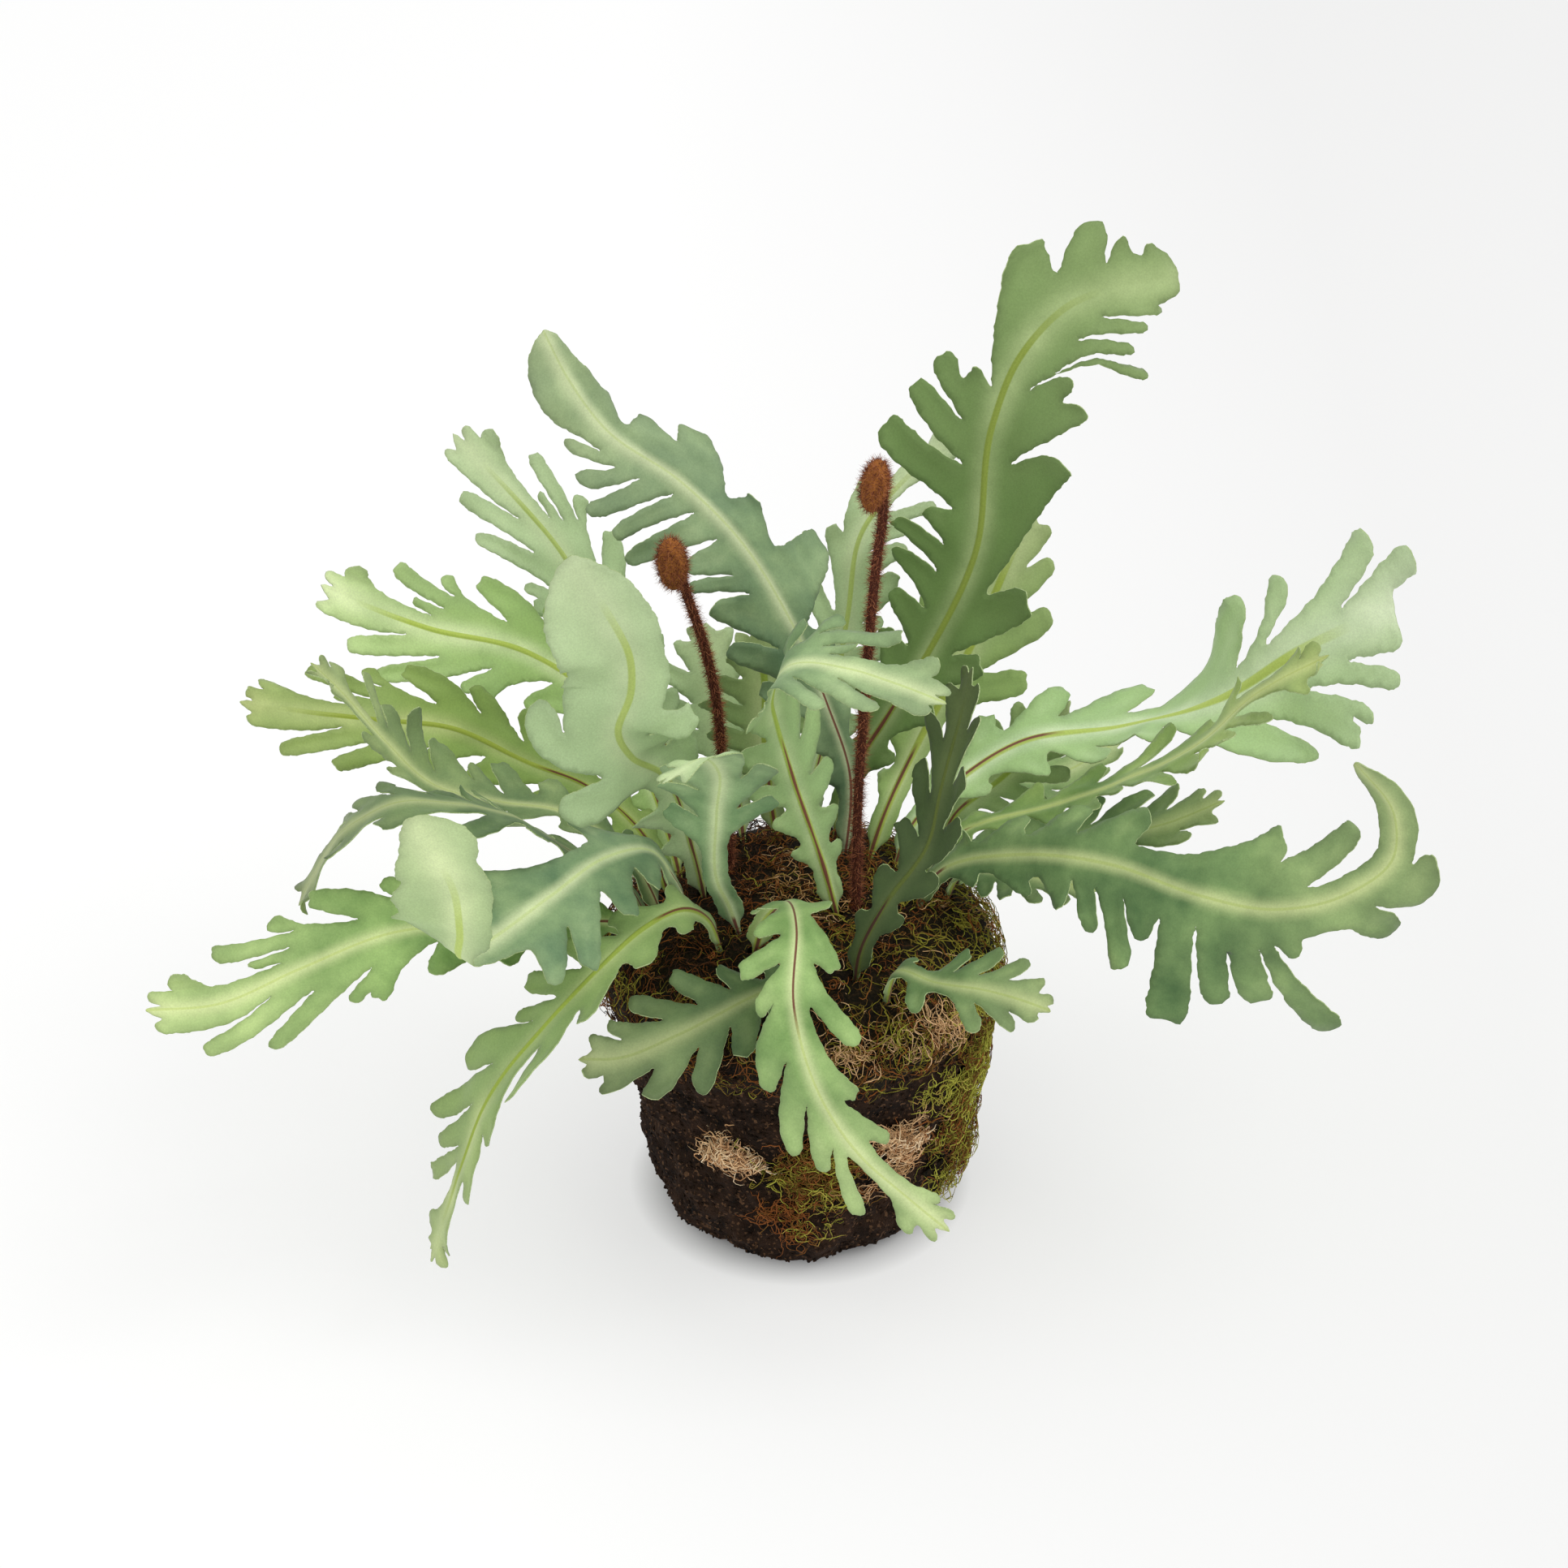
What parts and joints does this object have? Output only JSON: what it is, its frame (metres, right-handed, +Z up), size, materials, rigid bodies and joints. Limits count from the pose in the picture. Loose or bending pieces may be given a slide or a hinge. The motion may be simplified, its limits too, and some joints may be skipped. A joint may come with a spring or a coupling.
{
  "type": "artificial fern in a bare soil ball",
  "caption": "Free-standing artificial fern: arching lobed sage-green fronds and furry fiddleheads rise from a moss-topped ball of soil that stands by itself, with no pot.",
  "frame": {"origin": "centre of the soil ball's flat underside", "axes": "+Z up; +X to the right and -Y to the front of the plant, as it is seen from its front"},
  "size_m": [0.4599, 0.2498, 0.3843],
  "materials": {
    "soil": "dark brown crumbled peat and coir, dull and rough",
    "moss": "tangled dry moss, olive green to sienna brown",
    "fibre": "pale tan wood wool, dull",
    "leaf_sage": "printed cloth, sage to teal green with a pale midrib, matte",
    "leaf_pale": "printed cloth, light yellowish green with a raised rib, matte",
    "fur": "red-brown fur over a golden brown core"
  },
  "bodies": {
    "root": {"root_ball": "soil", "moss_crown": "moss", "moss_band_right": "moss", "moss_patch_front": "moss", "fibre_tuft_front": "fibre", "fibre_tuft_right": "fibre", "frond_tall_right": "leaf_sage", "frond_behind_right": "leaf_pale", "frond_tall_left": "leaf_sage", "frond_high_left": "leaf_pale", "frond_back_pale": "leaf_pale", "frond_back_green": "leaf_sage", "frond_spoon_left": "leaf_pale", "frond_upper_left": "leaf_pale", "frond_mid_left": "leaf_pale", "frond_arched_left": "leaf_sage", "frond_drooping_left": "leaf_sage", "frond_long_left": "leaf_pale", "frond_folded_left": "leaf_sage", "frond_hanging_left": "leaf_sage", "frond_front": "leaf_sage", "frond_small_front_left": "leaf_sage", "frond_small_front_right": "leaf_sage", "frond_upright_right": "leaf_sage", "frond_upright_left": "leaf_sage", "frond_bent_over": "leaf_sage", "frond_long_right": "leaf_pale", "frond_mid_right": "leaf_pale", "frond_broad_right": "leaf_sage", "frond_ribbed_right": "leaf_sage", "frond_low_right": "leaf_sage", "frond_back_tall": "leaf_pale", "frond_far_right": "leaf_sage", "frond_back_right": "leaf_sage", "fiddlehead_tall": "fur", "fiddlehead_short": "fur"}
  },
  "joints": []
}
